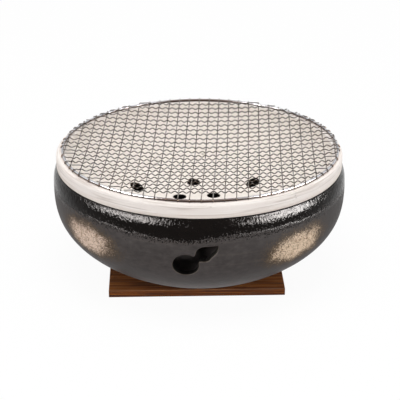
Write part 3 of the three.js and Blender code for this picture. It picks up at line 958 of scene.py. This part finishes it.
# %% Finish of the net
def steel_finish(name, side, top, tarnish, under, over, painted_dark_reflection=0.0):
    """Steel painted dark on its sides as painted shade, with a painted highlight on top, between two slopes
    of its surface.
    """
    f = Finish(name, Metallic=1.0)
    up = f.node("ShaderNodeSeparateXYZ", Vector=f.node("ShaderNodeNewGeometry").outputs["Normal"]).outputs[2]
    # painted shade on the sides, with real brown tarnish mixed in by noise
    tarnish_and_painted_shade = f.stain(side, (74, 54, 42), f.rise(f.noise(34, detail=3, shift=3.0), 0.4, 0.6), tarnish)
    # painted highlight on the top of each wire, by the upward slope of its surface, weaker on the bent ends
    painted_top_highlight = f.times(f.rise(up, under, over), f.calc("MULTIPLY_ADD", f.mark("bent_end"), -0.75, 1.0))
    # painted dark reflection: the middle of the ring's front and back is darkened and browned
    middle = f.fall(f.calc("ABSOLUTE", f.x), 26.0, 62.0)
    colour = f.stain(f.blend(painted_top_highlight, tarnish_and_painted_shade, top), (62, 46, 38), middle, painted_dark_reflection)
    drawn = f.noise(0.5, (6, 6, 1), detail=2, shift=5.0)
    return f.finish(colour, f.between(f.noise(24, detail=3, shift=1.0), 0.2, 0.34), f.bump(drawn, 0.03))


warp_steel = steel_finish("warp_steel", (44, 38, 33), (138, 130, 122), 0.4, 0.5, 1.0)
weft_steel = steel_finish("weft_steel", (42, 36, 31), (240, 236, 232), 0.4, 0.8, 1.0)
ring_steel = steel_finish("ring_steel", (92, 82, 76), (196, 197, 201), 0.85, 0.1, 0.65, 0.9)

# %% Weave the net
WIRES = (("warp", WARPS, warp_path, (1.0, 0.0, 0.0), warp_steel),
         ("weft", WEFTS, weft_path, (0.0, 1.0, 0.0), weft_steel))
RING_SIDES = 16
for kind, count, path_of, side, steel in WIRES:
    for number in range(count):
        path, bent = path_of(number)
        points, faces = sweep(path, np.array(side))
        make_piece(f"{kind}_wire_{number + 1:02d}", on_net(points), faces, steel, "net",
                   [f"net_{kind}_{number + 1:02d}"], {"bent_end": np.repeat(bent, WIRE_SIDES)})
around, section = full_turn(TURNS), full_turn(RING_SIDES)
radius = NET_RADIUS + RING_WIRE / 2 * np.cos(section)[None]
points = np.stack([radius * np.cos(around)[:, None], radius * np.sin(around)[:, None],
                   np.repeat(RING_WIRE / 2 * np.sin(section)[None], TURNS, 0)], 2).reshape(-1, 3)
here = np.arange(TURNS)[:, None] * RING_SIDES + np.arange(RING_SIDES)
up = np.roll(here, -1, 1)
faces = np.stack([here, up, np.roll(up, -1, 0), np.roll(here, -1, 0)], 2).reshape(-1, 4)
make_piece("net_outer_ring", on_net(points), faces.tolist(), ring_steel, "net", ["net_ring"])
print("net woven from", WARPS + WEFTS, "wires and a ring")

# %% [markdown]
# ## The board
# The brazier stands on a thin board that keeps the heat off the table. It is one plank with its edges
# broken by a plane, and its fibres stand in shallow lines. A cube with a Bevel modifier has such edges,
# but no points for the fibres to move. So a rounded section is swept along the grain and drawn in at both
# ends.

# %% Shape of the board
BOARD_SIDE, BOARD_THICK, BOARD_EDGE = 2 * (FOOT_RADIUS + 4.5), 7.5, 0.8
BOARD_SHIFT, BOARD_TURN = np.array((-4.6, 2.6)), math.radians(1.7)


def board_section(inset):
    """The outline across the grain, drawn in by an inset all round."""
    side, low, high = BOARD_SIDE / 2 - BOARD_EDGE, BOARD_EDGE, BOARD_THICK - BOARD_EDGE
    corners = ((side, low, -90), (side, high, 0), (-side, high, 90), (-side, low, 180))
    rounds = [arc((y, z), BOARD_EDGE - inset, start, start + 90, 4) for y, z, start in corners]
    flats = [np.linspace(a[-1], b[0], 2 + (4 if k % 2 == 0 else 90))[1:-1]
             for k, (a, b) in enumerate(zip(rounds, rounds[1:] + rounds[:1]))]
    return np.concatenate([part for pair in zip(rounds, flats) for part in pair])


half = BOARD_SIDE / 2
rounding = np.radians(np.linspace(2, 90, 5))
ends = list(zip(BOARD_EDGE * (1 - np.cos(rounding)), BOARD_EDGE * (1 - np.sin(rounding))))
middle = np.linspace(-half + BOARD_EDGE, half - BOARD_EDGE, 60)[1:-1]
stations = ([(along - half, inset) for along, inset in ends] + [(x, 0.0) for x in middle]
            + [(half - along, inset) for along, inset in ends[::-1]])
print("board has", len(stations), "sections of", len(board_section(0)), "points")

# %% Mesh of the board
def fibres(along, section):
    """Depth of the open grain, in lines that run along the board and wander a little."""
    y, z = section[:, 0], section[:, 1]
    lines = np.sin(2.3 * y + 2.9 * z + 1.1 * np.sin(along / 41 + y / 30))
    lines += 0.7 * np.sin(5.1 * y - 4.7 * z + 0.9 * np.sin(along / 23 + 2))
    return 0.05 * (lines - 1.7)


END_RELIEF = 0.3  # of the fibres' depth, on the broken ends
board_rows = []
for along, inset in stations:
    section = board_section(inset)
    relief = fibres(along, section)[:, None] * (1 if inset == 0 else END_RELIEF)
    section = section + outward(section) * relief
    board_rows.append(np.c_[np.full(len(section), along), section])
board_points = np.concatenate(board_rows)
board_faces = tube_faces(len(stations), len(board_rows[0]))
board_points[:, :2] = board_points[:, :2] @ turning(BOARD_TURN) + BOARD_SHIFT
print("board has", len(board_points), "points")

# %% [markdown]
# ## Wood
# The board is a reddish brown hardwood with a thin finish. A Wave texture would draw its growth lines too
# evenly, so they are noise stretched along its length, and they wander a little. Finer, darker pores lie
# the same way. The broken top edge is paler.

# %% Finish of the board
def wood_finish():
    f = Finish("stained_hardwood", Specular_IOR_Level=0.06)
    turn = f.node("ShaderNodeVectorRotate", {"rotation_type": "Z_AXIS"}, Vector=f.place, Angle=-BOARD_TURN)
    f.place = turn.outputs["Vector"]
    wander = f.noise(60, (3, 1, 1), detail=2, shift=1.0)
    lift = f.node("ShaderNodeCombineXYZ", Z=f.times(wander, 5.0), Y=f.times(wander, 9.0))
    bent = f.node("ShaderNodeVectorMath", {"operation": "ADD"})
    f.feed(bent.inputs[0], f.place)
    f.feed(bent.inputs[1], lift.outputs[0])
    f.place = bent.outputs[0]
    growth = f.noise(2.6, (40, 1.6, 0.5), detail=3, roughness=0.6, shift=2.0)
    colour = f.ramp(growth, (0.36, (72, 33, 10)), (0.5, (124, 66, 19)), (0.64, (176, 108, 46)))
    pores = f.rise(f.noise(0.55, (34, 1, 1), detail=1, shift=3.0), 0.6, 0.7)
    colour = f.stain(colour, (62, 34, 20), pores, 0.6)
    # the rounded top edge is painted paler
    pale_top_edge = f.times(f.rise(f.z, BOARD_THICK - 1.1, BOARD_THICK - 0.6),
                   f.fall(f.z, BOARD_THICK - 0.18, BOARD_THICK - 0.02))
    colour = f.stain(colour, (186, 134, 94), pale_top_edge, 0.4)
    height = f.calc("MULTIPLY_ADD", pores, -0.6, growth)
    return f.finish(colour, f.between(growth, 0.5, 0.62), f.bump(height, 0.25))


board = make_piece("wooden_board", board_points, board_faces, wood_finish(), "board", ["base_board"])
print("board box", [round(d / MM, 1) for d in board.dimensions])

# %% [markdown]
# ## Floor, light and background
# The object stands on a plain white sweep. Floor and room glow toward the camera and toward mirrors, so
# that they read as white, while the matt part of the floor still shows the shadow. Two long, low softboxes
# at the front corners are for mirrors only: they draw the bright streaks on the glazed shoulder. A broad
# one overhead and the room itself light the brazier.

# %% Floor
SWEEP = 4.0  # half of the floor's side, in metres
GLOW = 0.95


def floor_finish():
    f = Finish("white_sweep", Roughness=0.9, Specular_IOR_Level=0.1)
    f.feed(f.shader.inputs["Base Color"], (*seen(238, 238, 238), 1))
    glow = f.node("ShaderNodeEmission", Color=(1, 1, 1, 1), Strength=1.0)
    mix = f.node("ShaderNodeMixShader", Fac=f.times(f.seen_or_mirrored(), GLOW))
    f.feed(mix.inputs[1], f.shader.outputs[0])
    f.feed(mix.inputs[2], glow.outputs[0])
    f.feed(f.tree.nodes["Material Output"].inputs["Surface"], mix.outputs[0])
    return f.material


floor_mesh = bpy.data.meshes.new("floor")
corners = ((-SWEEP, -SWEEP, 0), (SWEEP, -SWEEP, 0), (SWEEP, SWEEP, 0), (-SWEEP, SWEEP, 0))
floor_mesh.from_pydata(corners, [], [(0, 1, 2, 3)])
floor_mesh.materials.append(floor_finish())
floor = add_object("floor", floor_mesh)
print("floor is", 2 * SWEEP, "m wide")

# %% Lights
def softbox(name, turn, rise, distance, width, height, power, mirrored_only=False):
    """A rectangular light that looks at the shoulder, from a turn off the front and a rise above it."""
    data = bpy.data.lights.new(name, "AREA")
    data.shape = "RECTANGLE"
    data.size, data.size_y, data.energy = width, height, power
    light = add_object(name, data)
    aim = Vector((0, 0, MOUTH * MM))
    turn, rise = math.radians(turn), math.radians(rise)
    away = Vector((math.sin(turn) * math.cos(rise), -math.cos(turn) * math.cos(rise), math.sin(rise)))
    light.location = aim + distance * away
    light.rotation_euler = away.to_track_quat("Z", "Y").to_euler()
    light.visible_camera = False
    light.visible_diffuse = not mirrored_only


softbox("left_strip", -56, 12, 1.6, 1.28, 0.32, 125, mirrored_only=True)
softbox("right_strip", 66, 6, 1.6, 1.3, 0.38, 180, mirrored_only=True)
softbox("overhead", 0, 80, 1.8, 1.2, 1.2, 22)

ROOM_LIGHT = 0.66  # share of the room's white that reaches matt things
world = bpy.data.worlds.new("white_room")
bpy.context.scene.world = world
world.use_nodes = True
room = Nodes(world.node_tree)
background = world.node_tree.nodes["Background"]
level = room.calc("MULTIPLY_ADD", room.seen_or_mirrored(), 1 - ROOM_LIGHT, ROOM_LIGHT)
room.feed(background.inputs["Color"], (1, 1, 1, 1))
room.feed(background.inputs["Strength"], level)
bpy.context.scene.view_settings.view_transform = "Standard"
